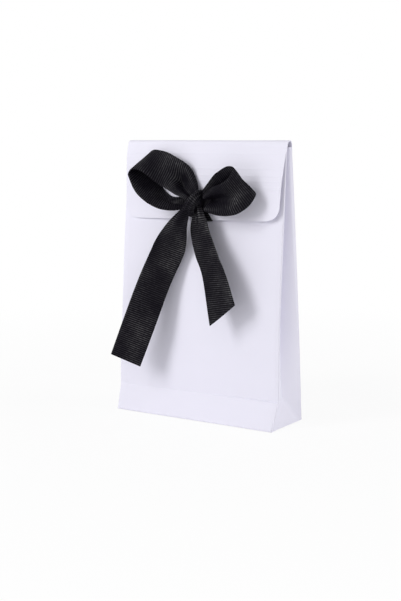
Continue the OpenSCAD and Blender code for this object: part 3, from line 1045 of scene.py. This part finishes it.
class GIFT_OT_stage(BuildOperator, bpy.types.Operator):
    """Camera, soft light and a pale floor"""

    bl_idname = "gift.stage"
    bl_label = "Stage"

    def build(self, paper, ribbon, stage):
        self.camera(stage)
        self.lamp("key", stage.key_power, KEY_SIZE, KEY_TRAVEL)
        self.lamp("fill", stage.fill_power, FILL_SIZE, FILL_TRAVEL)
        self.sky(stage)
        self.floor()
        bpy.context.scene.view_settings.view_transform = "Standard"

    def camera(self, stage):
        data = bpy.data.cameras.new("camera")
        data.lens = stage.camera_lens
        data.sensor_width = SENSOR_MM
        data.clip_start = CLIP_START
        camera = bpy.data.objects.new("camera", data)
        turned = Matrix.Rotation(stage.camera_yaw, 4, "Z")
        tipped = Matrix.Rotation(math.pi / 2 - stage.camera_pitch, 4, "X")
        camera.matrix_world = Matrix.Translation(stage.camera_place) @ turned @ tipped
        bpy.context.scene.collection.objects.link(camera)
        bpy.context.scene.camera = camera

    def lamp(self, name, power, size, travel):
        """A soft lamp, wide and tall, whose light travels towards the middle of the bag"""
        data = bpy.data.lights.new(name, "AREA")
        data.shape = "ELLIPSE"
        data.size, data.size_y = size
        data.energy = power
        lamp = bpy.data.objects.new(name, data)
        lamp.location = Vector(INSIDE) - Vector(travel)
        lamp.rotation_mode = "QUATERNION"
        lamp.rotation_quaternion = Vector(travel).to_track_quat("-Z", "Y")
        bpy.context.scene.collection.objects.link(lamp)

    def sky(self, stage):
        world = bpy.context.scene.world or bpy.data.worlds.new("sky")
        bpy.context.scene.world = world
        world.use_nodes = True
        nodes = Nodes(world.node_tree)
        nodes.tree.nodes.clear()
        even = nodes.node("ShaderNodeBackground", {}, {"Color": WHITE, "Strength": stage.sky})
        ground = nodes.node("ShaderNodeBackground", {}, {"Color": WHITE, "Strength": 1.0})
        shown = nodes.node("ShaderNodeMixShader", {}, {0: nodes.shows_ground(), 1: even, 2: ground})
        output = nodes.tree.nodes.new("ShaderNodeOutputWorld")
        nodes.feed(output.inputs["Surface"], shown)

    def floor(self):
        mesh = bpy.data.meshes.new("floor")
        signs = ((-1, -1), (1, -1), (1, 1), (-1, 1))
        corners = [(x * FLOOR_REACH, y * FLOOR_REACH, FLOOR_LEVEL) for x, y in signs]
        mesh.from_pydata(corners, [], [(0, 1, 2, 3)])
        finish = Finish("floor")
        finish.set(Base_Color=FLOOR_COLOUR, Roughness=0.9)
        place = finish.node("ShaderNodeTexCoord", {}, {}, "Object")
        away = finish.node("ShaderNodeVectorMath", {"operation": "LENGTH"}, {0: place}, "Value")
        near = finish.node("ShaderNodeMapRange", {}, {
            "Value": away, "From Min": GROUND_NEAR, "From Max": GROUND_FAR,
            "To Min": GROUND_SHARE_NEAR, "To Max": 1.0})
        lit = Socket(finish, finish.surface.outputs[0])
        ground = finish.node("ShaderNodeEmission", {}, {"Color": WHITE, "Strength": 1.0})
        shown = finish.node(
            "ShaderNodeMixShader", {}, {0: finish.shows_ground() * near, 1: lit, 2: ground})
        finish.feed(finish.output.inputs["Surface"], shown)
        mesh.materials.append(finish.material)
        floor = bpy.data.objects.new("floor", mesh)
        bpy.context.scene.collection.objects.link(floor)


OPERATORS = (
    GIFT_OT_front, GIFT_OT_back, GIFT_OT_sides, GIFT_OT_bottom,
    GIFT_OT_loops, GIFT_OT_tails, GIFT_OT_knot, GIFT_OT_stage,
)


class GIFT_PT_panel(bpy.types.Panel):
    """Lists the building steps"""

    bl_idname = "GIFT_PT_panel"
    bl_label = "Gift envelope"
    bl_space_type = "VIEW_3D"
    bl_region_type = "UI"
    bl_category = "Gift envelope"

    def draw(self, context):
        for operator in OPERATORS:
            self.layout.operator(operator.bl_idname)
        for group in (context.scene.gift_paper, context.scene.gift_ribbon, context.scene.gift_stage):
            for name in group.__annotations__:
                self.layout.prop(group, name)


CLASSES = (PaperSettings, RibbonSettings, StageSettings, *OPERATORS, GIFT_PT_panel)


def register():
    for cls in CLASSES:
        bpy.utils.register_class(cls)
    bpy.types.Scene.gift_paper = PointerProperty(type=PaperSettings)
    bpy.types.Scene.gift_ribbon = PointerProperty(type=RibbonSettings)
    bpy.types.Scene.gift_stage = PointerProperty(type=StageSettings)


def unregister():
    del bpy.types.Scene.gift_paper
    del bpy.types.Scene.gift_ribbon
    del bpy.types.Scene.gift_stage
    for cls in reversed(CLASSES):
        bpy.utils.unregister_class(cls)


def main():
    register()
    bpy.ops.gift.front()
    bpy.ops.gift.back()
    bpy.ops.gift.sides()
    bpy.ops.gift.bottom()
    bpy.ops.gift.loops()
    bpy.ops.gift.tails()
    bpy.ops.gift.knot()
    bpy.ops.gift.stage()


if __name__ == "__main__":
    main()
